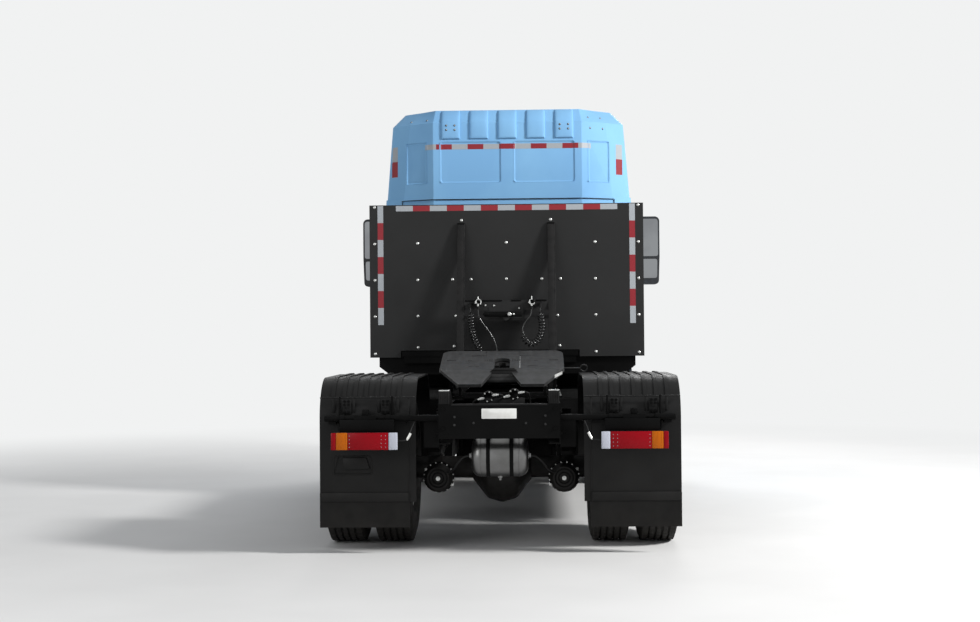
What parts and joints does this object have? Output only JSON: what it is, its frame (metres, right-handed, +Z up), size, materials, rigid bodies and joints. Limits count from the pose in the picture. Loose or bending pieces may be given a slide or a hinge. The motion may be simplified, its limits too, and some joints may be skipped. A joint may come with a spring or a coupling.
{
  "type": "battery-electric cab-over road tractor unit",
  "caption": "Cab-over road tractor with a high-roof cab, battery rack behind it, tilting fifth wheel, steered front wheels and twin rear wheels.",
  "frame": {"origin": "middle of the bounding box on the ground", "axes": "+X to the vehicle's right, +Y forward, +Z up"},
  "size_m": [3.18, 6.29, 3.6298],
  "materials": {
    "chassis_black": "semi-gloss black chassis paint",
    "board_black": "matt black faced board",
    "cab_blue": "light blue gloss paint",
    "cab_trim": "grained black plastic",
    "glass_pane": "tinted glass",
    "tyre": "moulded rubber",
    "rim_steel": "grey painted pressed steel",
    "tank_steel": "brushed",
    "lamp": "red and clear lens",
    "headlamp": "clear lens",
    "hose": "polyamide hose",
    "fitting": "zinc-plated",
    "flap_rubber": "sheet rubber",
    "guard_plastic": "moulded black plastic",
    "seat_cloth": "woven seat cloth",
    "cast_black": "painted casting"
  },
  "bodies": {
    "chassis": {"frame_rail_left": "chassis_black", "frame_rail_right": "chassis_black", "crossmembers": "chassis_black", "cab_mounts": "chassis_black", "front_brackets": "chassis_black", "rear_axle": "cast_black", "brake_chambers": "chassis_black", "leaf_springs": "chassis_black", "front_axle": "cast_black", "drive_unit": "chassis_black", "propeller_shaft": "chassis_black", "fifth_wheel_mount": "cast_black", "rear_board": "board_black", "battery_box": "chassis_black", "rack_base": "chassis_black", "board_struts": "chassis_black", "hose_rack": "chassis_black", "gladhands": "fitting", "coil_left": "hose", "tail_left": "hose", "coil_right": "hose", "tail_right": "hose", "air_tank": "tank_steel", "tank_straps": "chassis_black", "mudguards": "guard_plastic", "mudflaps": "flap_rubber", "mudguard_stays": "chassis_black", "tail_lamps": "lamp", "front_bumper": "cab_blue", "headlamps": "headlamp", "front_fenders": "guard_plastic", "side_boxes": "chassis_black"},
    "cab": {"cab_rear_wall": "cab_blue", "cab_front": "cab_blue", "windscreen": "glass_pane", "cab_sides": "cab_blue", "cab_roof": "cab_blue", "cab_floor": "chassis_black", "seats": "seat_cloth", "bunk": "seat_cloth", "dashboard": "cab_trim"},
    "door_left": {"door_left": "cab_blue", "door_left_glass": "glass_pane", "mirror_left": "cab_trim"},
    "door_right": {"door_right": "cab_blue", "door_right_glass": "glass_pane", "mirror_right": "cab_trim"},
    "knuckle_left": {"knuckle_left": "cast_black"},
    "knuckle_right": {"knuckle_right": "cast_black"},
    "front_wheel_left": {"tyre_front_left": "tyre", "rim_front_left": "rim_steel"},
    "front_wheel_right": {"tyre_front_right": "tyre", "rim_front_right": "rim_steel"},
    "rear_wheels_left": {"tyres_rear_left": "tyre", "rims_rear_left": "rim_steel"},
    "rear_wheels_right": {"tyres_rear_right": "tyre", "rims_rear_right": "rim_steel"},
    "fifth_wheel": {"fifth_wheel_plate": "cast_black", "lock_jaw": "cast_black"}
  },
  "joints": [
    {"name": "steer_left", "type": "hinge", "parent": "chassis", "child": "knuckle_left", "pos_m": [-0.9, 1.695, 0.526], "axis": [0, 0, 1], "range_deg": [-38, 38]},
    {"name": "front_wheel_left_spin", "type": "hinge", "parent": "knuckle_left", "child": "front_wheel_left", "pos_m": [-1.01, 1.695, 0.526], "axis": [1, 0, 0], "continuous": true},
    {"name": "rear_wheels_left_spin", "type": "hinge", "parent": "chassis", "child": "rear_wheels_left", "pos_m": [-0.93, -2.305, 0.526], "axis": [1, 0, 0], "continuous": true},
    {"name": "door_left_swing", "type": "hinge", "parent": "cab", "child": "door_left", "pos_m": [-1.233, 2.8, 1.665], "axis": [0, 0, -1], "range_deg": [0, 70]},
    {"name": "steer_right", "type": "hinge", "parent": "chassis", "child": "knuckle_right", "pos_m": [0.9, 1.695, 0.526], "axis": [0, 0, 1], "range_deg": [-38, 38]},
    {"name": "front_wheel_right_spin", "type": "hinge", "parent": "knuckle_right", "child": "front_wheel_right", "pos_m": [1.01, 1.695, 0.526], "axis": [1, 0, 0], "continuous": true},
    {"name": "rear_wheels_right_spin", "type": "hinge", "parent": "chassis", "child": "rear_wheels_right", "pos_m": [0.93, -2.305, 0.526], "axis": [1, 0, 0], "continuous": true},
    {"name": "door_right_swing", "type": "hinge", "parent": "cab", "child": "door_right", "pos_m": [1.233, 2.8, 1.665], "axis": [0, 0, 1], "range_deg": [0, 70]},
    {"name": "cab_tilt", "type": "hinge", "parent": "chassis", "child": "cab", "pos_m": [0, 3, 1.01], "axis": [-1, 0, 0], "range_deg": [0, 50]},
    {"name": "fifth_wheel_tilt", "type": "hinge", "parent": "chassis", "child": "fifth_wheel", "pos_m": [0, -1.92, 1.172], "axis": [-1, 0, 0], "range_deg": [0, 27]}
  ],
  "couplings": [
    {"joint": "steer_right", "follows": "steer_left", "ratio": 1}
  ]
}
